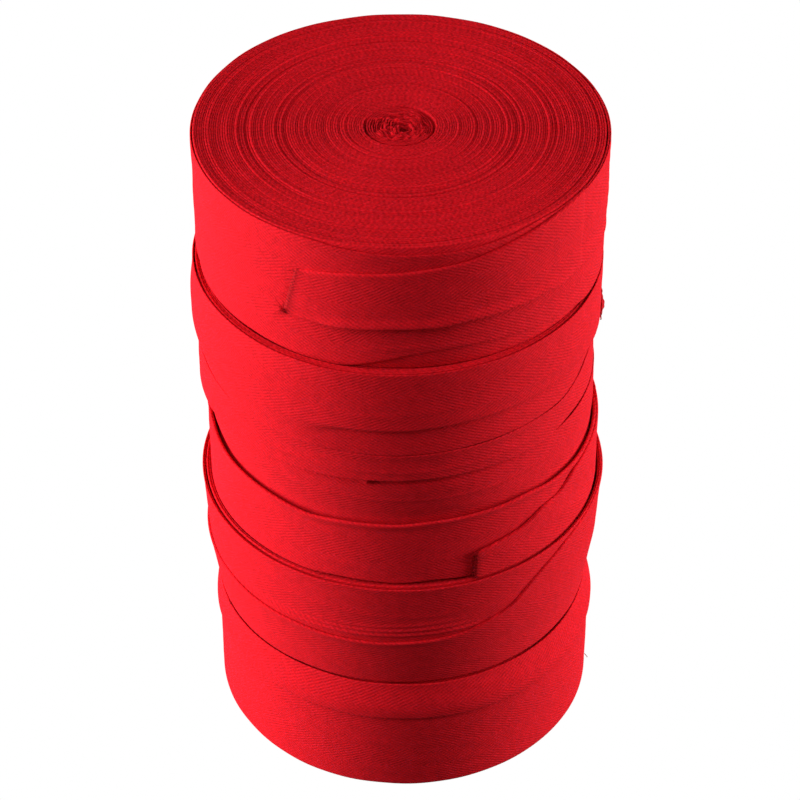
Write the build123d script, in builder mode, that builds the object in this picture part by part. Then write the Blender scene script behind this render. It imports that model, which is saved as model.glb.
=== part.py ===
# Column of five flat-wound rolls of woven cotton hand-wrap tape.
#
# Each roll is one long tape wound on itself with no reel: it starts in a crumpled
# bundle at the middle, is packed into a disc, and finishes in looser outer turns and
# a free end. The rolls only rest on each other. They lift off one by one, and each
# free end peels off about a vertical line.
#
# Frame: origin on the floor under the middle of the column, +Z up, -Y to the front.
# Lengths are millimetres. Angles are degrees, counter-clockwise from +X seen from above.

import os
from dataclasses import dataclass
from math import cos, radians, sin

from build123d import *

os.makedirs("parts", exist_ok=True)

# ---- driving dimensions ----
tape_width = 50.0          # woven width of the tape, and so the height of a neat roll
roll_radius = 72.0         # radius of a neat roll
core_radius = 12.0         # crumpled start of the tape in the middle of a roll
core_eye_length = 5.0      # open eye left near the middle of that bundle
core_eye_width = 2.4
core_eye_shift = 3.5       # the eye sits a little behind the roll's axis
end_thickness = 1.2        # a free end, which is folded double
peel_gap = 0.3             # air between a free end and the turn it lies on
end_inset = 1.0            # a free end stops this far inside the edges of its turn

# Turns that stand a little proud make a roll slightly taller than the tape is wide.
proud_edge_roll_2 = -0.5
proud_edge_roll_4 = 0.5
proud_edge_roll_5 = 0.5


@dataclass
class Roll:
    """One roll: where its axis stands, how tall it is and how far its tight turns reach."""

    number: int
    x: float
    y: float
    bottom: float
    height: float
    packed_radius: float

    @property
    def top(self):
        return self.bottom + self.height

    @property
    def axis(self):
        return Axis((self.x, self.y, 0), (0, 0, 1))

    def node(self, piece):
        return f"roll_{self.number}_{piece}"


# ---- the stack, from the floor up: each roll stands on the one below ----
roll_5 = Roll(5, 1.6, -0.8, 0.0, tape_width + proud_edge_roll_5, roll_radius - 1.6)
roll_4 = Roll(4, 0.6, 1.6, roll_5.top, tape_width + proud_edge_roll_4, roll_radius - 3.4)
roll_3 = Roll(3, 0.8, 0.6, roll_4.top, tape_width, roll_radius - 3.0)
roll_2 = Roll(2, -1.4, -1.6, roll_3.top, tape_width + proud_edge_roll_2, roll_radius - 1.4)
roll_1 = Roll(1, 0.0, 0.3, roll_2.top, tape_width, roll_radius - 1.0)
rolls = [roll_1, roll_2, roll_3, roll_4, roll_5]

# ---- outer turns: radius beyond the packed turns, and heights within the roll ----
roll_1_turn_depth = 1.0
roll_1_end_rise = 16.5     # the end of roll 1 is folded clear of the roll's lower part
roll_1_end_tip_width = 20.0
roll_2_lower_depth = 1.2
roll_2_lower_width = 12.5
roll_2_upper_depth = 2.8
roll_2_upper_width = 24.5
roll_3_upper_depth = 1.0
roll_3_folded_depth = 1.9
roll_3_folded_width = 29.0
roll_3_end_tip_width = 11.5
roll_4_folded_depth = 1.4
roll_4_folded_flare = 3.6  # the loose turns of roll 4 lean outwards towards the top
roll_4_folded_width = 24.0
roll_4_upper_depth = 4.2
roll_4_upper_flare = 2.1
roll_5_lower_depth = 0.9
roll_5_folded_depth = 1.6
roll_5_folded_width = 14.5


def save(part, label):
    """Name a finished piece and write it as its own node."""
    part.label = label
    export_step(part, f"parts/{label}.step")


def wound_ring(roll, piece, inner_radius, low_radius, high_radius, bottom, top):
    """Turns of tape as a closed ring, whose outer face may lean between two radii."""
    profile_plane = Plane(origin=(roll.x, roll.y, 0), x_dir=(1, 0, 0), z_dir=(0, -1, 0))
    with BuildPart() as ring:
        with BuildSketch(profile_plane):
            with BuildLine():
                Polyline(
                    (inner_radius, bottom),
                    (low_radius, bottom),
                    (high_radius, top),
                    (inner_radius, top),
                    close=True,
                )
            make_face()
        revolve(axis=roll.axis)
    save(ring.part, roll.node(piece))


def tape_core(roll):
    """The bundled start of the tape, with a narrow eye right through it."""
    with BuildPart() as core:
        with BuildSketch(Plane.XY.offset(roll.bottom)):
            with Locations((roll.x, roll.y)):
                Circle(core_radius)
            with Locations((roll.x, roll.y + core_eye_shift)):
                SlotOverall(core_eye_length, core_eye_width, mode=Mode.SUBTRACT)
        extrude(amount=roll.height)
    save(core.part, roll.node("centre"))


def free_end(roll, seat_radius, tip_angle, root_angle, bottom, top, tip_width=None):
    """The last stretch of tape, from its root round to its cut tip.

    It lies on a turn of seat_radius, a peel gap away. With a tip_width, its upper
    edge slopes in a straight cut from the full width at the root down to the tip.
    """
    inner = seat_radius + peel_gap
    outer = inner + end_thickness
    sweep_angle = root_angle - tip_angle
    with BuildPart() as end:
        with BuildSketch(Plane.XY.offset(bottom)):
            with BuildLine():
                inner_arc = CenterArc((roll.x, roll.y), inner, tip_angle, sweep_angle)
                outer_arc = CenterArc((roll.x, roll.y), outer, tip_angle, sweep_angle)
                Line(inner_arc @ 0, outer_arc @ 0)
                Line(inner_arc @ 1, outer_arc @ 1)
            make_face()
        extrude(amount=top - bottom)
        if tip_width is not None:
            tip_x = roll.x + outer * cos(radians(tip_angle))
            root_x = roll.x + outer * cos(radians(root_angle))
            slope = Vector(root_x - tip_x, 0, top - bottom - tip_width)
            cut_plane = Plane(
                origin=(tip_x, roll.y, bottom + tip_width),
                x_dir=slope,
                z_dir=Vector(-slope.Z, 0, slope.X),
            )
            split(bisect_by=cut_plane, keep=Keep.BOTTOM)
    save(end.part, roll.node("free_end"))


# ---- what every roll has: a bundled core inside a disc of tight turns ----
for roll in rolls:
    tape_core(roll)
    wound_ring(
        roll, "coil", core_radius, roll.packed_radius, roll.packed_radius, roll.bottom, roll.top
    )

# ---- roll 1, the top one: one full-width outer turn, and an end folded narrow ----
roll_1_radius = roll_1.packed_radius + roll_1_turn_depth
wound_ring(
    roll_1, "outer_turn", roll_1.packed_radius, roll_1_radius, roll_1_radius,
    roll_1.bottom, roll_1.top,
)
free_end(
    roll_1, roll_1_radius, tip_angle=-120.5, root_angle=-32.0,
    bottom=roll_1.bottom + roll_1_end_rise, top=roll_1.top - end_inset,
    tip_width=roll_1_end_tip_width,
)

# ---- roll 2: a narrow lower turn, a sunk groove, and a wide upper turn ----
roll_2_lower_radius = roll_2.packed_radius + roll_2_lower_depth
roll_2_upper_radius = roll_2.packed_radius + roll_2_upper_depth
wound_ring(
    roll_2, "lower_turn", roll_2.packed_radius, roll_2_lower_radius, roll_2_lower_radius,
    roll_2.bottom, roll_2.bottom + roll_2_lower_width,
)
wound_ring(
    roll_2, "upper_turn", roll_2.packed_radius, roll_2_upper_radius, roll_2_upper_radius,
    roll_2.top - roll_2_upper_width, roll_2.top,
)
free_end(
    roll_2, roll_2_upper_radius, tip_angle=62.0, root_angle=122.0,
    bottom=roll_2.top - roll_2_upper_width + end_inset, top=roll_2.top - end_inset,
)

# ---- roll 3: a flat upper turn, and a lower turn folded to about half width ----
roll_3_upper_radius = roll_3.packed_radius + roll_3_upper_depth
roll_3_folded_radius = roll_3.packed_radius + roll_3_folded_depth
roll_3_fold_top = roll_3.bottom + roll_3_folded_width
wound_ring(
    roll_3, "upper_turn", roll_3.packed_radius, roll_3_upper_radius, roll_3_upper_radius,
    roll_3_fold_top, roll_3.top,
)
wound_ring(
    roll_3, "folded_turn", roll_3.packed_radius, roll_3_folded_radius, roll_3_folded_radius,
    roll_3.bottom, roll_3_fold_top,
)
free_end(
    roll_3, roll_3_folded_radius, tip_angle=-69.0, root_angle=6.0,
    bottom=roll_3.bottom + end_inset, top=roll_3_fold_top - end_inset,
    tip_width=roll_3_end_tip_width,
)

# ---- roll 4: turns that flare outwards, the lower one folded to half width ----
roll_4_fold_top = roll_4.bottom + roll_4_folded_width
roll_4_fold_foot_radius = roll_4.packed_radius + roll_4_folded_depth
roll_4_fold_edge_radius = roll_4_fold_foot_radius + roll_4_folded_flare
roll_4_upper_foot_radius = roll_4.packed_radius + roll_4_upper_depth
wound_ring(
    roll_4, "folded_turn", roll_4.packed_radius, roll_4_fold_foot_radius,
    roll_4_fold_edge_radius, roll_4.bottom, roll_4_fold_top,
)
wound_ring(
    roll_4, "upper_turn", roll_4.packed_radius, roll_4_upper_foot_radius,
    roll_4_upper_foot_radius + roll_4_upper_flare, roll_4_fold_top, roll_4.top,
)
free_end(
    roll_4, roll_4_fold_edge_radius, tip_angle=48.0, root_angle=104.0,
    bottom=roll_4.bottom + end_inset, top=roll_4_fold_top - end_inset,
)

# ---- roll 5, on the floor: a full lower turn, and an upper turn folded narrow ----
roll_5_low_radius = roll_5.packed_radius + roll_5_lower_depth
roll_5_fold_radius = roll_5.packed_radius + roll_5_folded_depth
roll_5_fold_bottom = roll_5.top - roll_5_folded_width
wound_ring(
    roll_5, "lower_turn", roll_5.packed_radius, roll_5_low_radius, roll_5_low_radius,
    roll_5.bottom, roll_5_fold_bottom,
)
wound_ring(
    roll_5, "folded_turn", roll_5.packed_radius, roll_5_fold_radius, roll_5_fold_radius,
    roll_5_fold_bottom, roll_5.top,
)
free_end(
    roll_5, roll_5_fold_radius, tip_angle=70.0, root_angle=128.0,
    bottom=roll_5_fold_bottom + end_inset, top=roll_5.top - end_inset,
)
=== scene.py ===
# Column of five flat-wound rolls of woven cotton hand-wrap tape: the looks.
#
# Lengths in this file are in millimetres and angles in degrees, until a mesh is made.
# An angle is the place round a roll: 0 at the front, 90 at the right, 180 at the back.
# Past 360 it goes on counting, because the tape winds inwards as its angle grows.
# A height is counted from the bottom of the tape's own roll.
# The floor, the lamps and the camera are in metres.

import math

import bpy
import numpy as np
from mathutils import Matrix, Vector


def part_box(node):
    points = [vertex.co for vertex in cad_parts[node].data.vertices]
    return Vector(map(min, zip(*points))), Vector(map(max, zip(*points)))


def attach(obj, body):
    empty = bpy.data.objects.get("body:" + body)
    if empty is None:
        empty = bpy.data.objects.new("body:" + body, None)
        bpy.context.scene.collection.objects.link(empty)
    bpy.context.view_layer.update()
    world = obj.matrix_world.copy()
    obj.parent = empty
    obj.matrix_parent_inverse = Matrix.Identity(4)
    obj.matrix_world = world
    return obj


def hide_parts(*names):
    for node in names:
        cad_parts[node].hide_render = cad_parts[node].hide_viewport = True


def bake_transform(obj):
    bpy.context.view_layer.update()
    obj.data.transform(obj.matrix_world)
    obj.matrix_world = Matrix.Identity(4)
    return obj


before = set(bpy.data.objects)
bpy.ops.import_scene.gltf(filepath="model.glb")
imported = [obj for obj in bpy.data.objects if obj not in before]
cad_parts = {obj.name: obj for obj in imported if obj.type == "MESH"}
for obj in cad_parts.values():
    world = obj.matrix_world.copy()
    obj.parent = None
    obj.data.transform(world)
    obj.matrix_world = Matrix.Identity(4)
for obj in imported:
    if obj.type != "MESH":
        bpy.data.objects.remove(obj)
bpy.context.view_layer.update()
bpy.ops.object.select_all(action="DESELECT")

MM = 0.001
TAPE_WIDTH = 50.0
COIL_PITCH = 0.8          # from one packed turn to the next
COIL_THICKNESS = 0.74
LAYER = 0.5               # one layer of the looser outer tape
FOLD_GAP = 0.22           # air between the two layers of folded tape
STEP = 1.8                # length of one facet along the outer turns
COIL_STEP = 4.5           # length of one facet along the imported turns
SHORTEST_BACK = 1.5       # least width of the layer behind a fold
BACK_CLEARANCE = 1.0      # from the end of that layer to the tape's other edge
SHEAR_REACH = 9.0         # how far round the roll a slanted cut moves the tape, in degrees
THREAD_TONE = 0.25        # loose threads are a little darker than the tape
THREAD_TAPER = 0.55       # the thickness of a thread's tip, as a share of its root's


# ---- the rolls, read from the frame ----
class Roll:
    """One wound roll: its axis, its packed radius, its core radius, its foot and height."""

    def __init__(self, number):
        low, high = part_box(f"roll_{number}_coil")
        core_low, core_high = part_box(f"roll_{number}_centre")
        self.number = number
        self.body = f"roll_{number}"
        self.end_body = f"roll_{number}_end"
        self.x = (low.x + high.x) / 2 / MM
        self.y = (low.y + high.y) / 2 / MM
        self.packed = (high.x - low.x) / 2 / MM
        self.core = (core_high.x - core_low.x) / 2 / MM
        self.foot = low.z / MM
        self.height = (high.z - low.z) / MM

    def place(self, angle, radius, height):
        """Points in millimetres, from an angle, a radius and a height."""
        turn = np.radians(angle)
        x = self.x + radius * np.sin(turn)
        y = self.y - radius * np.cos(turn)
        z = self.foot + height
        return np.stack(np.broadcast_arrays(x, y, z), axis=-1)


rolls = {number: Roll(number) for number in range(1, 6)}


# ---- small helpers ----
def track(keys, angle, ease=4.0):
    """The value at each angle, from (angle, value) keys, with the corners eased."""
    places = np.array([key[0] for key in keys], float)
    values = np.array([key[1] for key in keys], float)
    total = np.zeros_like(np.asarray(angle, float))
    offsets = np.linspace(-ease, ease, 9)
    weights = 1.0 - np.abs(offsets) / (ease * 1.25)
    for offset, weight in zip(offsets, weights):
        total = total + weight * np.interp(angle + offset, places, values)
    return total / weights.sum()


def soft_step(value, start, end):
    """0 before start, 1 after end, smooth between."""
    share = np.clip((value - start) / (end - start), 0, 1)
    return share * share * (3 - 2 * share)


def ripples(rng, waves, round_counts, height_counts):
    """A smooth bumpy function of angle and height, about -1 to 1, closed round the roll."""
    parts = []
    for _ in range(waves):
        around = int(rng.integers(*round_counts))
        upwards = rng.uniform(*height_counts)
        parts.append((around, upwards, rng.uniform(0, 2 * math.pi), rng.uniform(0.4, 1.0)))

    def bumps(angle, height):
        total = 0.0
        for around, upwards, phase, strength in parts:
            total = total + strength * np.sin(np.radians(angle) * around + height * upwards + phase)
        return total / math.sqrt(len(parts))

    return bumps


class Cloth:
    """Gathers the faces of one piece of tape, then makes it a Blender object."""

    def __init__(self):
        self.points = []
        self.places = []
        self.tones = []
        self.faces = []
        self.count = 0

    def add_rings(self, rings, along, across, tone):
        """A closed skin over rings of points, shape (rings, points, 3), with both ends capped."""
        rows, size = rings.shape[0], rings.shape[1]
        first = self.count
        index = first + np.arange(rows * size).reshape(rows, size)
        lower = index[:-1]
        upper = index[1:]
        quads = np.stack(
            [lower, upper, np.roll(upper, -1, axis=1), np.roll(lower, -1, axis=1)], axis=-1
        )
        self.faces.extend(quads.reshape(-1, 4).tolist())
        self.faces.append(index[0].tolist())
        self.faces.append(index[-1][::-1].tolist())
        self.points.append(rings.reshape(-1, 3))
        shape = (rows, size)
        along = np.broadcast_to(along, shape).reshape(-1)
        across = np.broadcast_to(across, shape).reshape(-1)
        self.places.append(np.stack([along, across], axis=-1))
        self.tones.append(np.broadcast_to(tone, shape).reshape(-1))
        self.count += rows * size

    def add_thread(self, line, radius, sides=5):
        """A thin round thread along a line of points."""
        line = np.array(line, float)
        ahead = np.gradient(line, axis=0)
        ahead /= np.linalg.norm(ahead, axis=1)[:, None]
        helper = np.array([0.31, 0.22, 0.92])    # any direction that the line doesn't follow
        side = np.cross(ahead, helper)
        side /= np.linalg.norm(side, axis=1)[:, None]
        other = np.cross(ahead, side)
        turn = np.linspace(0, 2 * math.pi, sides, endpoint=False)
        width = radius * np.linspace(1.0, THREAD_TAPER, len(line))[:, None, None]
        circle = np.cos(turn)[None, :, None] * side[:, None] + np.sin(turn)[None, :, None] * other[:, None]
        rings = line[:, None] + width * circle
        run = np.linspace(0, len(line), len(line))[:, None]
        self.add_rings(rings[:, ::-1], run, turn[None], THREAD_TONE)

    def make(self, name, material):
        """The Blender object, with its place in its mesh."""
        points = np.concatenate(self.points) * MM
        mesh = bpy.data.meshes.new(name)
        mesh.from_pydata(points.tolist(), [], self.faces)
        corner = np.zeros(len(mesh.loops), np.int32)
        mesh.loops.foreach_get("vertex_index", corner)
        layout = mesh.uv_layers.new(name="Tape")
        places = (np.concatenate(self.places) * MM)[corner]
        layout.data.foreach_set("uv", places.astype(np.float32).reshape(-1))
        tone = mesh.attributes.new("Tone", "FLOAT", "POINT")
        tone.data.foreach_set("value", np.concatenate(self.tones).astype(np.float32))
        mesh.polygons.foreach_set("use_smooth", np.ones(len(mesh.polygons), bool))
        mesh.materials.append(material)
        mesh.validate()
        piece = bpy.data.objects.new(name, mesh)
        bpy.context.scene.collection.objects.link(piece)
        return piece


def arc_length(points):
    """Distance along a line of points, from its first."""
    steps = np.linalg.norm(np.diff(points, axis=0), axis=1)
    return np.concatenate([[0.0], np.cumsum(steps)])


# ---- one stretch of tape as a closed sheet ----
def width_behind(width):
    """The width of the layer behind a fold: the rest of the tape, as far as there is room."""
    return np.clip(TAPE_WIDTH - width, SHORTEST_BACK, width - BACK_CLEARANCE)


def section(low, high, layer, fold, rows):
    """The line across the tape at every place along it, as depths and heights.

    fold is None, "top" or "bottom": the edge where the tape is folded back behind itself.
    """
    bend = (layer + FOLD_GAP) / 2
    share = np.linspace(0, 1, rows)[None]
    if fold is None:
        heights = low[:, None] + share * (high - low)[:, None]
        return np.zeros_like(heights), heights
    start = high if fold == "bottom" else low
    turn = low + bend if fold == "bottom" else high - bend
    sign = -1.0 if fold == "bottom" else 1.0
    outer = start[:, None] + share * (turn - start)[:, None]
    round_angles = np.radians([45.0, 90.0, 135.0])[None]
    arc_heights = turn[:, None] + sign * bend * np.sin(round_angles)
    arc_depths = np.broadcast_to(bend * (1 - np.cos(round_angles)), arc_heights.shape)
    back = width_behind(high - low)
    inner = turn[:, None] - sign * np.linspace(0, 1, 4)[None] * back[:, None]
    heights = np.concatenate([outer, arc_heights, inner], axis=1)
    depths = np.concatenate([np.zeros_like(outer), arc_depths, np.full_like(inner, 2 * bend)], axis=1)
    return depths, heights


def skin(depths, heights, layer, flip):
    """The closed outline round a section line, half a layer off it on both sides."""
    run_depth = np.gradient(depths, axis=1)
    run_height = np.gradient(heights, axis=1)
    size = np.hypot(run_depth, run_height)
    out_depth = -run_height / size
    out_height = run_depth / size
    if flip:
        out_depth = -out_depth
        out_height = -out_height
    half = layer / 2
    near = (depths + out_depth * half, heights + out_height * half)
    far = (depths - out_depth * half, heights - out_height * half)
    outline = []
    for part in (0, 1):
        run = (run_depth, run_height)[part] / size
        out = (out_depth, out_height)[part]
        line = (depths, heights)[part]
        end_round = [line[:, -1:] + half * (run[:, -1:] * s + out[:, -1:] * c)
                     for s, c in ((0.7, 0.7), (1.0, 0.0), (0.7, -0.7))]
        start_round = [line[:, :1] + half * (-run[:, :1] * s + out[:, :1] * c)
                       for s, c in ((0.7, -0.7), (1.0, 0.0), (0.7, 0.7))]
        outline.append(np.concatenate(
            [near[part]] + end_round + [far[part][:, ::-1]] + start_round, axis=1
        ))
    return outline


def tape(cloth, roll, angles, radius, low, high, layer=LAYER, fold=None, rows=14,
         lean=None, wrinkle=None, shear=None, tone=0.5, slide=0.0):
    """Adds a stretch of tape, wound round a roll along angles.

    radius, low and high are arrays: its outer face's radius, its lower and its upper edge.
    lean(angle, height) is added to the radius, and wrinkle(angle, height) on top of that.
    shear(share) moves the start of the stretch round the roll, by the share of its height.
    slide moves the weave along the tape, in millimetres.
    """
    depths, heights = section(low, high, layer, fold, rows)
    gaps = np.hypot(np.diff(depths, axis=1), np.diff(heights, axis=1))
    line_across = np.concatenate([np.zeros((len(angles), 1)), np.cumsum(gaps, axis=1)], axis=1)
    flip = fold == "bottom"
    outline_depths, outline_heights = skin(depths, heights, layer, flip)
    across = np.concatenate([line_across] + [line_across[:, -1:]] * 3
                            + [line_across[:, ::-1]] + [line_across[:, :1]] * 3, axis=1)
    turn = np.repeat(angles[:, None], outline_heights.shape[1], axis=1)
    if shear is not None:
        share = (outline_heights - low[:, None]) / (high - low)[:, None]
        turn = turn + shear(share) * (1 - soft_step(turn - angles[0], 0, SHEAR_REACH))
    reach = radius[:, None] - layer / 2 - outline_depths
    if lean is not None:
        reach = reach + lean(turn, outline_heights)
    if wrinkle is not None:
        reach = reach + wrinkle(turn, outline_heights)
    rings = roll.place(turn, reach, outline_heights)
    middle = roll.place(angles, radius, (low + high) / 2)
    along = arc_length(middle)
    if flip:
        rings = rings[:, ::-1]
        across = across[:, ::-1]
    cloth.add_rings(rings, (along + slide)[:, None], across, tone)
    return along[-1]


# ---- the material ----
class Socket:
    """A shader node's socket. Arithmetic on it adds Math nodes."""

    def __init__(self, tree, socket):
        self.tree = tree
        self.socket = socket

    def node(self, kind, settings=None, inputs=None, output=0):
        """Any node: its settings first, then the values or links of its sockets."""
        new = self.tree.nodes.new(kind)
        for name, value in (settings or {}).items():
            setattr(new, name, value)
        for name, value in (inputs or {}).items():
            if isinstance(value, Socket):
                self.tree.links.new(value.socket, new.inputs[name])
            else:
                new.inputs[name].default_value = value
        return Socket(self.tree, new.outputs[output])

    def math(self, operation, *values):
        """A Math node on the given values."""
        return self.node("ShaderNodeMath", {"operation": operation}, dict(enumerate(values)))

    def __add__(self, other):
        return self.math("ADD", self, other)

    def __radd__(self, other):
        return self.math("ADD", other, self)

    def __sub__(self, other):
        return self.math("SUBTRACT", self, other)

    def __rsub__(self, other):
        return self.math("SUBTRACT", other, self)

    def __mul__(self, other):
        return self.math("MULTIPLY", self, other)

    def __rmul__(self, other):
        return self.math("MULTIPLY", other, self)

    def __truediv__(self, other):
        return self.math("DIVIDE", self, other)

    def mix(self, first, second):
        """A colour between two colours, by this value."""
        return self.node("ShaderNodeMix", {"data_type": "RGBA"}, {0: self, 6: first, 7: second}, 2)


def woven_cotton(name, deep, bright, twill_depth):
    """Herringbone cotton tape, patterned along and across the tape itself."""
    zone_width = 9.3 * MM
    twill_pitch = 1.15 * MM
    twill_slope = math.radians(27)
    yarn_pitch = 1.6 * MM
    yarn_depth = twill_depth * 0.6
    fuzz_depth = 0.12
    cloud_depth = 0.1
    twill_shade = 0.085
    yarn_shade = 0.08
    cloud_shade = 0.3
    fuzz_shade = 0.55
    tone_shade = 0.9
    material = bpy.data.materials.new(name)
    material.use_nodes = True
    tree = material.node_tree
    shader = tree.nodes["Principled BSDF"]
    start = Socket(tree, None)
    layout = start.node("ShaderNodeUVMap", {"uv_map": "Tape"})
    along = start.node("ShaderNodeSeparateXYZ", None, {0: layout}, 0)
    across = start.node("ShaderNodeSeparateXYZ", None, {0: layout}, 1)
    solid = start.node("ShaderNodeTexCoord", None, None, 3)
    drift = start.node("ShaderNodeTexNoise", None, {"Vector": solid, "Scale": 90.0, "Detail": 2.0})
    cloud = start.node("ShaderNodeTexNoise", None, {"Vector": solid, "Scale": 320.0, "Detail": 4.0})
    fuzz = start.node("ShaderNodeTexNoise", None, {"Vector": solid, "Scale": 1500.0, "Detail": 3.0})
    tone = start.node("ShaderNodeAttribute", {"attribute_name": "Tone"}, None, 2)

    zone = (across / zone_width).math("FLOOR", across / zone_width)
    side = zone.math("PINGPONG", zone, 1.0) * 2.0 - 1.0
    wander = (drift - 0.5) * (0.8 * MM)
    path = across * math.cos(twill_slope) - side * along * math.sin(twill_slope) + wander
    twill = path.math("SINE", path * (2 * math.pi / twill_pitch))
    warp = along.math("SINE", along * (2 * math.pi / yarn_pitch))
    weft = across.math("SINE", across * (2 * math.pi / yarn_pitch))
    yarn = warp * weft

    # The Tone attribute brings painted light and shade from the pieces (raised and sunk turns, crumples and
    # the eye of each centre, the cut tips) as well as random tone and the darker threads.
    shade = 0.5 + twill * twill_shade + yarn * yarn_shade + (cloud - 0.5) * cloud_shade
    shade = shade + (fuzz - 0.5) * fuzz_shade + (tone - 0.5) * tone_shade
    shade = shade.node("ShaderNodeClamp", None, {0: shade})
    colour = shade.mix(deep, bright)
    height = twill * twill_depth + yarn * yarn_depth + (fuzz - 0.5) * fuzz_depth
    height = height + (cloud - 0.5) * cloud_depth
    bump = start.node("ShaderNodeBump", None, {"Strength": 0.8, "Distance": MM, "Height": height})
    tree.links.new(colour.socket, shader.inputs["Base Color"])
    tree.links.new(bump.socket, shader.inputs["Normal"])
    shader.inputs["Roughness"].default_value = 0.92
    shader.inputs["Subsurface Weight"].default_value = 0.3
    shader.inputs["Subsurface Radius"].default_value = (1.0, 0.08, 0.06)
    shader.inputs["Subsurface Scale"].default_value = 0.8 * MM
    shader.inputs["Specular IOR Level"].default_value = 0.1
    shader.inputs["Sheen Weight"].default_value = 0.015
    shader.inputs["Sheen Roughness"].default_value = 0.5
    shader.inputs["Sheen Tint"].default_value = (1.0, 0.12, 0.12, 1.0)
    return material


cotton = woven_cotton("red_herringbone_cotton", (0.22, 0.0008, 0.003, 1), (1.0, 0.0085, 0.021, 1), 0.038)


def finish_piece(piece, body, nodes):
    """Rides the piece on its body, and hides the imported nodes it stands for."""
    if body is not None:
        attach(piece, body)
    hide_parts(*nodes)


# ---- packed coils ----
# Turns that stand proud or lie low, as (radius, rise), on a roll of LISTED_RADIUS.
LISTED_RADIUS = 71.0
LINE_STRENGTH = 0.62      # how much of its listed rise such a turn gets
PROUD_TURNS = [(71.0, 0.5), (66.3, 0.35), (60.3, 0.6), (56.9, 0.55), (51.8, 0.5), (41.9, 0.45), (37.1, 0.3),
               (20.3, 0.35)]
LOW_TURNS = [(68.3, -0.5), (62.7, -0.5), (53.7, -0.6), (43.0, -0.7), (40.4, -0.5), (32.4, -0.6),
             (26.6, -0.4), (18.9, -0.4)]
# How far the rim of each coil leans out at its top. Roll 5 leans in instead.
COIL_FLARE = {1: 0.1, 2: 1.9, 3: 0.1, 4: 4.95}
# How far each coil's outermost turn is past its packed radius, and the angle of that turn's end.
COIL_GROWTH = {1: 0.42, 2: 0.0, 3: 0.0, 4: 0.0, 5: 0.0}
COIL_START = {1: 150.0, 2: 150.0, 3: 150.0, 4: 110.0, 5: 200.0}
TOP_GAP = 0.35            # from the upper edge of a level turn to the top of its roll
LEFT_SHOULDER = 1.3       # how far the left of roll 2's rim is pressed in


def left_side(angle):
    """1 at the left of a roll, 0 from its front to its back round the right."""
    return soft_step(-np.sin(np.radians(angle)), 0.2, 1.0)


def rounded_shoulder(turn, height):
    """The upper edge of roll 5 is pressed in by the roll above, most at its front and right."""
    front_right = soft_step(np.cos(np.radians(turn - 30)), -0.35, 0.75)
    return -(1.6 + 1.9 * front_right) * soft_step(height, 38.0, 52.0)


def coil(roll):
    """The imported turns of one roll, as one long spiral of tape."""
    rng = np.random.default_rng(40 + roll.number)
    first = roll.core + 0.1 + COIL_THICKNESS
    growth = COIL_GROWTH[roll.number]
    turns = (roll.packed + growth - first) / COIL_PITCH
    angle = [0.0]
    while angle[-1] < turns * 360:
        radius = roll.packed + growth - COIL_PITCH * angle[-1] / 360
        angle.append(angle[-1] + math.degrees(COIL_STEP / radius))
    wound = np.array(angle)
    radius = roll.packed + growth - COIL_PITCH * wound / 360
    angles = wound + COIL_START[roll.number]
    levels = rng.normal(0, 0.09, int(turns) + 4)
    rise = np.interp(wound / 360, np.arange(len(levels)), levels)
    quick = rng.normal(0, 0.05, int(turns * 6) + 8)
    rise = rise + np.interp(wound / 60, np.arange(len(quick)), quick)
    for place, amount in PROUD_TURNS + LOW_TURNS:
        place = place * roll.packed / LISTED_RADIUS
        # a line is strongest on one side of the roll and fades on the other
        side = 0.75 + 0.25 * np.cos(np.radians(angles) - rng.uniform(3.9, 5.6))
        rise = rise + LINE_STRENGTH * amount * side * np.exp(-((radius - place) / (COIL_PITCH * 0.5)) ** 2)
    dip = rng.normal(0, 0.12, int(turns) + 4)
    sink = np.interp(wound / 360, np.arange(len(dip)), dip)
    high = roll.height - TOP_GAP + np.clip(rise, -0.9, 0.6)
    low = np.clip(0.5 + sink, 0.4, 0.9)
    share_out = soft_step(radius, 38.0, roll.packed)[:, None]

    def lean(turn, height):
        if roll.number == 5:
            return share_out * rounded_shoulder(turn, height)
        spread = share_out * COIL_FLARE[roll.number]
        if roll.number != 2:
            return spread * height / roll.height
        above_waist = np.clip(2 * height / roll.height - 1, 0, 1.05)
        return spread * above_waist * (1 - 0.65 * left_side(turn))

    # Turns that stand proud are painted lighter and sunk turns darker: painted light and shade. The small
    # noise is random tone.
    tones = 0.5 + np.clip(rise, -0.6, 0.5)[:, None] * 0.3 + rng.normal(0, 0.03, (len(angles), 1))
    slips = rng.uniform(0, 5.0, int(turns) + 4)
    slide = np.interp(wound / 360, np.arange(len(slips)), slips)
    cloth = Cloth()
    rows = 5 if roll.number in (2, 5) else 2
    length = tape(cloth, roll, angles, radius, low, high, COIL_THICKNESS, None, rows, lean,
                  tone=tones, slide=slide)
    piece = cloth.make(f"roll_{roll.number}_packed_tape", cotton)
    finish_piece(piece, roll.body, [f"roll_{roll.number}_coil"])


# ---- crumpled centres ----
def crumple(rng, waves, shortest, longest):
    """A smooth random function of a flat place, about -1 to 1."""
    parts = []
    for _ in range(waves):
        heading = rng.uniform(0, 2 * math.pi)
        count = 2 * math.pi / rng.uniform(shortest, longest)
        parts.append((count * math.cos(heading), count * math.sin(heading), rng.uniform(0, 2 * math.pi)))

    def value(x, y):
        total = 0.0
        for along_x, along_y, phase in parts:
            total = total + np.sin(along_x * x + along_y * y + phase)
        return total / math.sqrt(len(parts))

    return value


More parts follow.
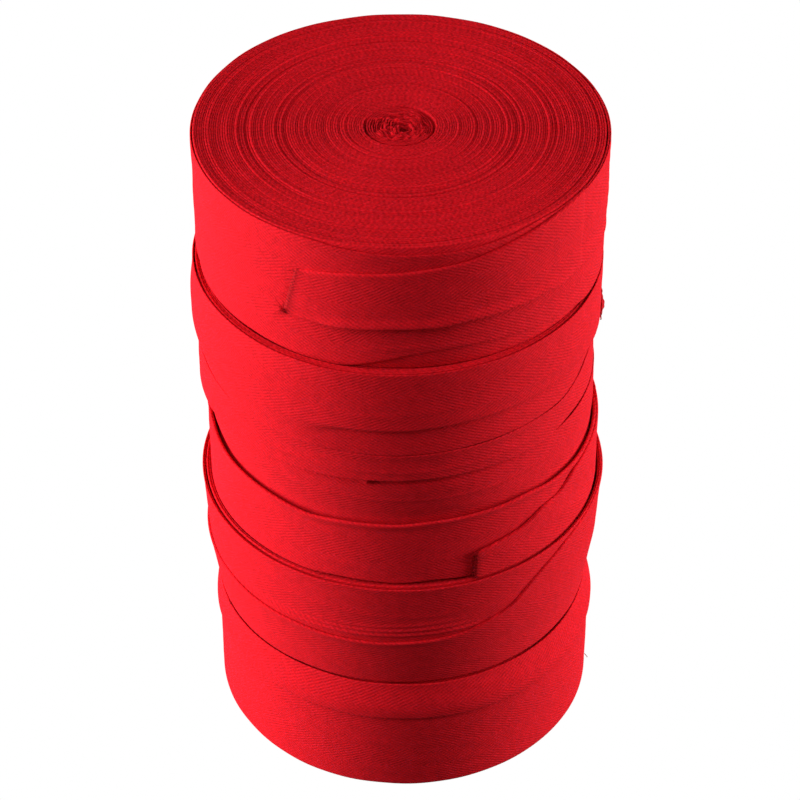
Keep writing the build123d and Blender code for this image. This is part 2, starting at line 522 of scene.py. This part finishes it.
def centre(roll):
    """The start of the tape, wound loosely and crumpled round a small eye."""
    rng = np.random.default_rng(70 + roll.number)
    pitch = 0.8
    thick = 0.54
    eye = 1.6
    outer = roll.core - 0.12
    start_angle = 180.0
    turns = (outer - eye) / pitch
    angles = np.arange(0, turns * 360, 5.0) + start_angle
    base = outer - pitch * (angles - start_angle) / 360
    inside = soft_step(outer - base, 0.2, 4.0)
    flat_x = base * np.sin(np.radians(angles))
    flat_y = -base * np.cos(np.radians(angles))
    lumps = crumple(rng, 12, 1.7, 4.2)(flat_x, flat_y)
    right_hollow = soft_step(flat_x, 5.0, 8.5) * (1 - soft_step(base, 11.0, 12.0))
    right_hollow = right_hollow * soft_step(flat_y, -7.0, -2.0)
    jitter = rng.normal(0, 0.24, int(turns * 18) + 8)
    high = roll.height - 0.5 + 0.4 * inside * lumps - 0.7 * right_hollow
    high = high + inside * np.interp((angles - start_angle) / 20, np.arange(len(jitter)), jitter)
    high = high - 0.9 * (1 - soft_step(base, eye, eye + 1.6))
    low = np.full_like(high, 0.6)
    share = np.array([0, 0.35, 0.7, 0.86, 0.92, 0.955, 0.98, 0.992, 1.0])[None]
    heights = low[:, None] + share * (high - low)[:, None]
    outline_depths, outline_heights = skin(np.zeros_like(heights), heights, thick, False)
    rings = roll.place(angles[:, None], base[:, None] - thick / 2 - outline_depths, outline_heights)
    near_x = rings[..., 0] - roll.x
    near_y = rings[..., 1] - roll.y
    sideways = crumple(rng, 10, 3.0, 7.5)(near_x, near_y)
    lengthways = crumple(rng, 10, 3.0, 7.5)(near_x, near_y)
    flop = 0.22 * crumple(rng, 6, 2.0, 5.0)(near_x, near_y)
    flop = flop * soft_step(outline_heights, roll.height - 4, roll.height)
    pull = 2.0 * soft_step(outer - base, 0.5, 10.0)[:, None]
    rings[..., 0] += inside[:, None] * (0.42 * sideways + flop) + 0.62 * pull
    rings[..., 1] += inside[:, None] * (0.42 * lengthways + flop) - 0.9 * pull
    along = arc_length(rings[:, 0])
    # Higher crumples are painted lighter and lower ones darker: painted light and shade. The small noise is
    # random tone.
    tone = 0.46 + 0.14 * inside * lumps + rng.normal(0, 0.03, len(angles))
    # The last turn and a half round the eye are painted darker: painted shade down the eye, and lint.
    tone = tone - 0.5 * (1 - soft_step(base, eye + 0.2, eye + 1.3))
    cloth = Cloth()
    cloth.add_rings(rings, along[:, None], outline_heights, tone[:, None])
    piece = cloth.make(f"roll_{roll.number}_core_tape", cotton)
    finish_piece(piece, roll.body, [f"roll_{roll.number}_centre"])


for roll in rolls.values():
    centre(roll)
    coil(roll)


# ---- looser outer turns ----
def crease(keys, strength, width):
    """A ridge that runs round the roll along (angle, height) keys."""
    first, last = keys[0][0], keys[-1][0]

    def ridge(angle, height):
        line = track(keys, angle)
        fade = soft_step(angle, first, first + 8) * (1 - soft_step(angle, last - 8, last))
        return strength * fade * np.exp(-((height - line) / width) ** 2)

    return ridge


def outer_turn(roll, name, node, span, radius, low, high, fold=None, lean=None, creases=(), rows=44,
               seed=0, slack=0.11, lip=((0, 0.0),), extras=None):
    """One or more loose turns on the rim of a roll.

    span is its first and last angle. radius, low and high are (angle, value) keys.
    slack is how far its broad waves stand out.
    lip is how far the upper edge stands out, as (angle, distance) keys.
    extras(cloth, roll, rng) adds small things to it.
    """
    rng = np.random.default_rng(100 + 10 * roll.number + seed)
    step = math.degrees(STEP / roll.packed)
    angles = np.arange(span[0], span[1] + step, step)
    broad = ripples(rng, 7, (2, 9), (0.05, 0.35))
    fine = ripples(rng, 9, (3, 22), (0.5, 1.5))

    def wrinkle(angle, height):
        total = slack * broad(angle, height) + 0.4 * slack * fine(angle, height)
        for ridge in creases:
            total = total + ridge(angle, height)
        edge_height = track(high, angle)
        return total + track(lip, angle) * soft_step(height, edge_height - 3.5, edge_height)

    edge = ripples(rng, 6, (4, 26), (0.0, 0.01))
    cloth = Cloth()
    length = tape(
        cloth, roll, angles, track(radius, angles),
        track(low, angles) + 0.12 * edge(angles, 0.0),
        track(high, angles) + 0.12 * edge(angles, 40.0),
        LAYER, fold, rows, lean, wrinkle,
    )
    if extras is not None:
        extras(cloth, roll, rng)
    widths = track(high, angles) - track(low, angles)
    width = np.mean(widths)
    if fold is not None:
        width = width + np.mean(width_behind(widths))
    piece = cloth.make(f"roll_{roll.number}_{name}", cotton)
    finish_piece(piece, roll.body, [node])


def frayed_tuft(cloth, roll, rng, angle, radius, height, count, size, thread=0.12):
    """A small tuft of tangled threads."""
    for _ in range(count):
        steps = np.linspace(0, 1, 7)
        swing = rng.normal(0, 1.0, 3)
        curl = rng.uniform(-1.5, 1.5, 3)
        out = 0.3 + abs(swing[0])
        line = roll.place(
            angle + np.degrees(size * (swing[1] * steps + curl[1] * steps * (1 - steps)) / radius),
            radius + size * 0.6 * (out * steps + curl[0] * 0.5 * steps * (1 - steps)),
            height + size * (swing[2] * steps + curl[2] * steps * (1 - steps)),
        )
        cloth.add_thread(line, thread)


def left_nub(cloth, roll, rng):
    """A tuft at the left, on the lower edge of roll 4."""
    frayed_tuft(cloth, roll, rng, -67.0, 70.2, 0.3, 26, 0.6)


def right_nub(cloth, roll, rng):
    """A small frayed ruffle at the right of roll 2."""
    angles = np.arange(84.4, 90.8, 0.4)

    def ruffle(angle, height):
        swell = np.exp(-((height - 26.2) / 2.3) ** 2) * np.exp(-((angle - 87.6) / 2.1) ** 2)
        return 1.0 * swell + 0.12 * np.sin(height * 2.9 + angle * 1.7)

    tape(cloth, roll, angles, np.full_like(angles, 73.6), np.full_like(angles, 22.2),
         np.full_like(angles, 30.6), 0.4, None, 22, wrinkle=ruffle, tone=0.2)
    for offset in np.linspace(-3.6, 3.6, 9):
        swell = 1 - (offset / 4.6) ** 2
        frayed_tuft(cloth, roll, rng, 87.5, 73.0, 26.5 + offset, 9, 0.25 + 0.45 * swell, 0.2)


def floor_thread(cloth, roll, rng):
    """A short loose thread at the right of roll 5."""
    frayed_tuft(cloth, roll, rng, 84.0, 71.3, 6.5, 2, 1.0)


outer_turn(
    rolls[1], "outer_tape", "roll_1_outer_turn", (57, 468),
    radius=[(58, 72.5), (95, 72.35), (112, 72.1), (125, 72.0), (330, 72.0), (418, 71.9), (468, 71.6)],
    low=[(57, 18.7), (75, 16), (95, 11), (120, 5), (150, 1), (180, 0.1), (240, 0.1), (255, 3), (270, 6),
         (285, 6.5), (297, 4.6), (310, 2.6), (322, 1.0), (331, 0.4), (344, 0.1), (353, 3.2), (361, 6.3),
         (368, 7.6), (374, 7.9), (381, 7.8), (394, 6.3), (411, 3.8), (425, 0.6), (440, 0.1), (468, 0.1)],
    high=[(57, 49.6), (335, 49.6), (345, 48.2), (360, 47.4), (380, 47.3), (392, 48.5), (400, 49.6),
          (468, 49.8)],
    creases=[crease([(345, 8.0), (350, 8.2), (365, 9.6), (381, 8.6)], 0.3, 0.7)], seed=1,
)
outer_turn(
    rolls[2], "lower_tape", "roll_2_lower_turn", (120, 500),
    radius=[(120, 71.5), (500, 71.3)],
    low=[(120, 1.5), (200, -0.5), (270, -2.5), (290, -2.5), (310, -0.7), (327, 0.3), (360, 1.7),
         (388, 1.9), (405, 1.2), (420, 2.5), (460, 2.0), (500, 1.5)],
    high=[(120, 24), (180, 20), (270, 19), (285, 18), (294, 16), (308, 14), (330, 13.4), (360, 12.6),
          (388, 13.2), (415, 13.4), (424, 16), (433, 20), (445, 24), (500, 24)],
    creases=[crease([(300, 6.0), (360, 5.0), (430, 6.5)], 0.15, 0.9)], seed=2, lip=[(0, 0.3)],
)


def pressed_waist(turn, height):
    """The foot of roll 2's upper tape is pressed in: gently at the left, under a bulge elsewhere."""
    middle = track([(211, 25.4), (240, 24.5), (262, 22.0), (290, 20.5), (330, 20.0), (340, 23.5),
                    (347, 24.6), (360, 24.8), (383, 26.0), (408, 26.2), (433, 24.8), (572, 25.4)], turn)
    half = track([(211, 0.5), (240, 2.0), (262, 6.0), (332, 6.0), (341, 2.0), (347, 0.45),
                  (572, 0.45)], turn)
    depth = track([(211, 0), (240, 0.6), (262, 2.0), (290, 2.0), (318, 1.0), (336, 0.8), (347, 1.5),
                   (430, 1.7), (448, 0), (572, 0)], turn)
    share = np.clip((height - middle + half) / (2 * half), 0, 1)
    bulge = depth * (1 - share * share * (3 - 2 * share))
    return -bulge - LEFT_SHOULDER * left_side(turn) * soft_step(height, 34, 50)


outer_turn(
    rolls[2], "upper_tape", "roll_2_upper_turn", (211, 572),
    radius=[(211, 73.4), (260, 73.2), (560, 73.2), (572, 72.9)],
    low=[(211, 25.5), (240, 24.5), (262, 18.5), (285, 17.5), (294, 16.3), (308, 14.4), (330, 13.9),
         (360, 13.3), (388, 14.0), (415, 14.2), (424, 17.2), (433, 22), (445, 24.5), (572, 25.4)],
    high=[(211, 49.4), (572, 49.4)], lean=pressed_waist, rows=64, extras=right_nub,
    creases=[crease([(337, 31.0), (380, 33.0), (430, 31.5)], 0.12, 1.2)], seed=3,
)


def pinched_foot(turn, height):
    """Roll 3's upper tape sits close to the coil at its foot, and swells out under roll 2 above."""
    towards_left_front = soft_step(np.cos(np.radians(turn + 40)), -0.1, 0.75)
    swell = soft_step(height, 31, 46) * (1 - 0.55 * soft_step(height, 47.2, 50.0))
    return 1.6 * towards_left_front * swell - 0.45 * (1 - soft_step(height, 30, 35))


def tucked_corner(cloth, roll, rng):
    """A corner of stretched tape, folded under the roll above."""
    angles = np.arange(-26.0, -8.6, 0.8)
    low = track([(-26, 50.4), (-19, 49.7), (-14, 48.9), (-11, 48.2), (-8.6, 48.6)], angles, 1.0)
    radius = track([(-26, 71.3), (-18, 71.6), (-12, 72.0), (-8.6, 72.3)], angles, 1.0)
    high = np.full_like(angles, 51.4)
    tape(cloth, roll, angles, radius, low, high, 0.5, None, 8,
         wrinkle=lambda angle, height: 0.16 * np.sin(np.radians(angle * 70) + height * 2.2), tone=0.55)
    for _ in range(16):
        height = rng.uniform(48.4, 51.0)
        steps = np.linspace(0, 1, 5)
        run = rng.uniform(0.4, 1.4)
        line = roll.place(
            -8.9 + np.degrees(run * steps / 71.0),
            72.0 + 0.2 * steps,
            height - run * 0.4 * steps,
        )
        cloth.add_thread(line, 0.1)


outer_turn(
    rolls[3], "upper_tape", "roll_3_upper_turn", (130, 510),
    radius=[(130, 70.05), (510, 69.95)],
    low=[(130, 24), (510, 24)], high=[(130, 49.8), (510, 49.8)],
    lean=pinched_foot, extras=tucked_corner,
    creases=[crease([(290, 40.5), (360, 40.2), (430, 41.0)], 0.22, 0.6)], seed=4,
)
outer_turn(
    rolls[3], "folded_tape", "roll_3_folded_turn", (95, 452),
    radius=[(95, 71.9), (130, 71.4), (440, 71.25), (452, 71.0)],
    low=[(95, 0.6), (291, 0.4), (303, 1.0), (333, 0.8), (342, 1.9), (360, 1.5), (370, 2.5), (379, 1.4),
         (452, 0.8)],
    high=[(95, 28.5), (120, 29), (200, 34), (250, 44), (265, 47.5), (276, 42), (284, 36.5), (290, 31.5),
          (298, 29.7), (318, 28.6), (333, 27.4), (342, 28.5), (360, 29), (370, 29.9), (388, 30.4),
          (399, 30.5), (408, 29), (421, 27.8), (452, 28)],
    fold="top", seed=5,
    lip=[(95, 0.3), (240, 0.35), (262, 0.9), (295, 0.9), (320, 0.65), (345, 0.75), (452, 0.5)],
)


def flared_fold(turn, height):
    """The loose turns of roll 4 lean outwards, more steeply up to the fold than above it."""
    fold_height = 24.0
    out_at_fold = 3.6
    out_above = 1.5
    below = out_at_fold * np.minimum(height, fold_height) / fold_height
    return below + out_above * np.maximum(height - fold_height, 0) / (TAPE_WIDTH - fold_height)


outer_turn(
    rolls[4], "upper_tape", "roll_4_upper_turn", (110, 850),
    radius=[(110, 68.9), (136, 68.95), (146, 69.45), (470, 69.4), (490, 68.85), (850, 68.8)],
    low=[(110, 20), (850, 20)], high=[(110, 49.9), (400, 50.1), (470, 50.0), (490, 49.5), (850, 49.7)],
    lean=flared_fold, seed=6, rows=60, slack=0.09, lip=[(0, 0.15)],
    creases=[crease([(300, 26.0), (340, 26.4), (385, 28.2)], 0.75, 0.5),
             crease([(310, 28.2), (340, 28.4), (383, 30.4)], 0.6, 0.5),
             crease([(322, 30.8), (345, 30.6), (380, 33.0)], 0.35, 0.6),
             crease([(320, 38.0), (370, 36.0), (395, 41.0)], 0.15, 0.9)],
)
outer_turn(
    rolls[4], "folded_tape", "roll_4_folded_turn", (193, 500),
    radius=[(193, 70.4), (230, 70.1), (380, 70.1), (420, 70.2), (460, 70.1), (500, 69.5)],
    low=[(193, 0.3), (500, 0.3)],
    high=[(193, 23.6), (300, 24.2), (342, 22.8), (355, 23.0), (373, 24.5), (380, 26.0), (385, 28.3),
          (393, 31.0), (398, 37.7), (404, 42.7), (411, 46.6), (419, 49.1), (430, 49.9), (500, 49.9)],
    fold="top", lean=flared_fold, seed=7, slack=0.08, extras=left_nub,
    lip=[(193, 0.25), (300, 0.25), (335, 0.45), (368, 0.45), (382, 0.12), (425, 0.12), (450, 0.3)],
)


outer_turn(
    rolls[5], "lower_tape", "roll_5_lower_turn", (120, 482),
    radius=[(120, 71.3), (482, 71.2)],
    low=[(120, 0.45), (482, 0.45)], high=[(120, 37.5), (482, 37.5)], seed=8, extras=floor_thread,
)
outer_turn(
    rolls[5], "folded_tape", "roll_5_folded_turn", (217, 578),
    radius=[(217, 72.7), (250, 72.4), (560, 72.35), (578, 72.2)],
    low=[(217, 36.4), (294, 38.2), (304, 35.9), (358, 35.9), (397, 36.2), (424, 37.1), (578, 36.4)],
    high=[(217, 50.2), (578, 50.2)], fold="bottom", lean=rounded_shoulder, seed=9,
)


# ---- free ends ----
def free_end(roll, tip, root, radius, low, high, fold, shear=None, lean=None, tuft=5, foot_flare=0.0,
             long_threads=(), seed=0):
    """The loose last stretch of a roll's tape, cut and frayed at its tip.

    foot_flare is how far its lower edge stands out between its tip and its root.
    long_threads are pulled from its lower corner, as (run, rise, drop) in millimetres.
    """
    rng = np.random.default_rng(300 + 10 * roll.number + seed)
    sunk = 3.0
    angles = np.append(np.arange(tip, root + sunk, 0.9), root + sunk)
    broad = ripples(rng, 6, (5, 16), (0.1, 0.5))

    def wrinkle(angle, height):
        near_foot = 1 - soft_step(height - track(low, angle, 2.0), 0.0, 4.0)
        middle = soft_step(angle, tip + 2, tip + 14) * (1 - soft_step(angle, root - 14, root - 3))
        return 0.1 * broad(angle, height) + foot_flare * near_foot * middle

    past_root = soft_step(angles, root - 1.5, root + sunk)
    outer = track(radius, angles, 2.0) - 0.75 * past_root
    lower = track(low, angles, 2.0) + 0.4 * past_root
    upper = track(high, angles, 2.0) - 0.4 * past_root
    # The tip is painted darker: fraying, and painted shade on the cut end and on the strip beside it.
    frayed_and_shaded_tip = 0.5 - 0.5 * np.exp(-((angles - tip) / 1.5) ** 2)
    cloth = Cloth()
    length = tape(cloth, roll, angles, outer, lower, upper, LAYER, fold, 36, lean, wrinkle, shear,
                  tone=frayed_and_shaded_tip[:, None])
    width = float(np.mean(upper - lower))
    doubled = float(np.mean(width_behind(upper - lower)))
    threads = 46
    for number in range(threads):
        share = (number + rng.uniform(0.1, 0.9)) / threads
        height = lower[0] + share * (upper[0] - lower[0])
        begin = tip + (shear(share) if shear is not None else 0.0) + 0.2
        reach = outer[0] - rng.uniform(0.1, 0.9)
        if lean is not None:
            reach = reach + lean(tip, height)
        long_one = rng.uniform() < 0.16
        run = rng.uniform(1.6, 3.4) if long_one else rng.uniform(0.4, 1.3)
        drop = rng.normal(0, 0.3 * run)
        lift = rng.normal(0.1, 0.14 * run)
        steps = np.linspace(0, 1, 6)
        line = roll.place(
            begin - np.degrees(run * steps / outer[0]),
            reach + lift * steps ** 2,
            height + drop * steps ** 2,
        )
        cloth.add_thread(line, 0.11)
    corner = tip + (shear(0.0) if shear is not None else 0.0)
    bias = lean(tip, lower[0]) if lean is not None else 0.0
    frayed_tuft(cloth, roll, rng, corner + 0.5, outer[0] - 0.1 + bias, lower[0] + 0.9, tuft, 0.7)
    for run, rise, drop in long_threads:
        steps = np.linspace(0, 1, 9)
        line = roll.place(
            corner - np.degrees(run * steps / outer[0]),
            outer[0] - 0.4 + rise * np.sin(steps * 2.6) + bias,
            lower[0] + 0.8 + drop * steps + 0.5 * np.sin(steps * 5.0),
        )
        cloth.add_thread(line, 0.13)
    piece = cloth.make(f"roll_{roll.number}_loose_end", cotton)
    begin = roll.place(root - 0.5, radius[-1][1], 0.0) * MM
    end = roll.place(root - 9.0, radius[-1][1], 0.0) * MM
    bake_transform(piece)
    finish_piece(piece, None, [f"roll_{roll.number}_free_end"])


def slanted_cut(share):
    """The end of roll 1 is cut on a slant."""
    return -4.1 * (1 - np.clip(share, 0, 1))


free_end(
    rolls[1], -28.6, 58.0,
    radius=[(-33, 72.6), (-27, 72.7), (-16, 73.1), (30, 73.2), (50, 73.0), (58, 72.75)],
    low=[(-32, 16.2), (-27, 16.6), (-19, 17.4), (0, 19.1), (10, 18.9), (18, 20.1), (41, 20.0), (58, 18.7)],
    high=[(-28, 36.2), (-27, 36.5), (-13, 39.5), (0, 40.7), (18, 43.2), (28, 45.7), (36, 47.4), (45, 49.2),
          (52, 49.8), (58, 49.9)],
    fold="top", shear=slanted_cut, tuft=34, foot_flare=0.95,
    long_threads=[(4.6, 0.6, -3.4), (3.0, 0.8, 5.2), (2.0, 0.9, -2.0), (3.8, 0.4, 1.0)],
)
free_end(
    rolls[2], 152.0, 212.0,
    radius=[(152, 74.9), (160, 74.5), (200, 74.4), (212, 73.7)],
    low=[(152, 26.5), (212, 25.6)], high=[(152, 48.0), (212, 49.0)], fold="bottom",
)
free_end(
    rolls[3], 20.8, 96.0,
    radius=[(20, 72.8), (26, 72.65), (32, 72.6), (80, 72.5), (96, 72.05)],
    low=[(20, 0.7), (96, 0.7)],
    high=[(20, 12.1), (29, 14.5), (36, 16.1), (44, 20.4), (52, 21.2), (59, 25.4), (72, 26.7), (96, 28.4)],
    fold="top",
)
free_end(
    rolls[4], 138.0, 194.0,
    radius=[(138, 72.1), (150, 71.6), (185, 71.4), (194, 70.5)],
    low=[(138, 1.4), (194, 0.4)], high=[(138, 22.6), (194, 23.5)], fold="top", lean=flared_fold,
)
free_end(
    rolls[5], 160.0, 218.0,
    radius=[(160, 74.0), (170, 73.6), (205, 73.5), (218, 72.85)],
    low=[(160, 37.6), (218, 36.5)], high=[(160, 49.0), (218, 50.0)], fold="bottom", lean=rounded_shoulder,
)


# ---- floor, light and camera ----
def emission(name, colour, strength):
    """A plain glowing surface."""
    material = bpy.data.materials.new(name)
    material.use_nodes = True
    tree = material.node_tree
    tree.nodes.clear()
    glow = tree.nodes.new("ShaderNodeEmission")
    glow.inputs["Color"].default_value = colour
    glow.inputs["Strength"].default_value = strength
    output = tree.nodes.new("ShaderNodeOutputMaterial")
    tree.links.new(glow.outputs[0], output.inputs["Surface"])
    return material


bpy.ops.mesh.primitive_plane_add(size=30, location=(0, 0, -0.0005))
floor = bpy.context.object
floor.name = "floor"
floor.data.materials.append(emission("pale_floor", (1.0, 1.0, 1.0, 1), 1.0))
floor.visible_diffuse = False
floor.visible_glossy = False
floor.visible_shadow = False


def softbox(name, azimuth, elevation, distance, size, power):
    """A large soft lamp that faces the middle of the column, with its power in watts."""
    light = bpy.data.lights.new(name, "AREA")
    light.shape = "RECTANGLE"
    light.size = size[0]
    light.size_y = size[1]
    light.energy = power
    lamp = bpy.data.objects.new(name, light)
    bpy.context.scene.collection.objects.link(lamp)
    turn = math.radians(azimuth)
    rise = math.radians(elevation)
    level = distance * math.cos(rise)
    lamp.location = (level * math.sin(turn), -level * math.cos(turn), 0.125 + distance * math.sin(rise))
    lamp.rotation_euler = (math.pi / 2 - rise, 0, turn)


softbox("left_softbox", -90, 6, 1.3, (0.9, 0.9), 41)
softbox("right_softbox", 97, 6, 1.3, (0.9, 0.9), 26)
softbox("top_softbox", 0, 62, 1.4, (0.6, 0.6), 6.9)

world = bpy.data.worlds.new("studio")
world.use_nodes = True
world.node_tree.nodes["Background"].inputs["Color"].default_value = (1.0, 1.0, 1.0, 1)
world.node_tree.nodes["Background"].inputs["Strength"].default_value = 0.085
bpy.context.scene.world = world
bpy.context.scene.view_settings.view_transform = "Standard"

camera_elevation = 39.43
camera_data = bpy.data.cameras.new("camera")
camera_data.sensor_width = 36.0
camera_data.lens = 132.5
camera_data.clip_end = 100.0
camera = bpy.data.objects.new("camera", camera_data)
bpy.context.scene.collection.objects.link(camera)
camera.location = (0.0, -0.8394, 0.8190)
camera.rotation_euler = (math.radians(90 - camera_elevation), 0.0, 0.0)
bpy.context.scene.camera = camera
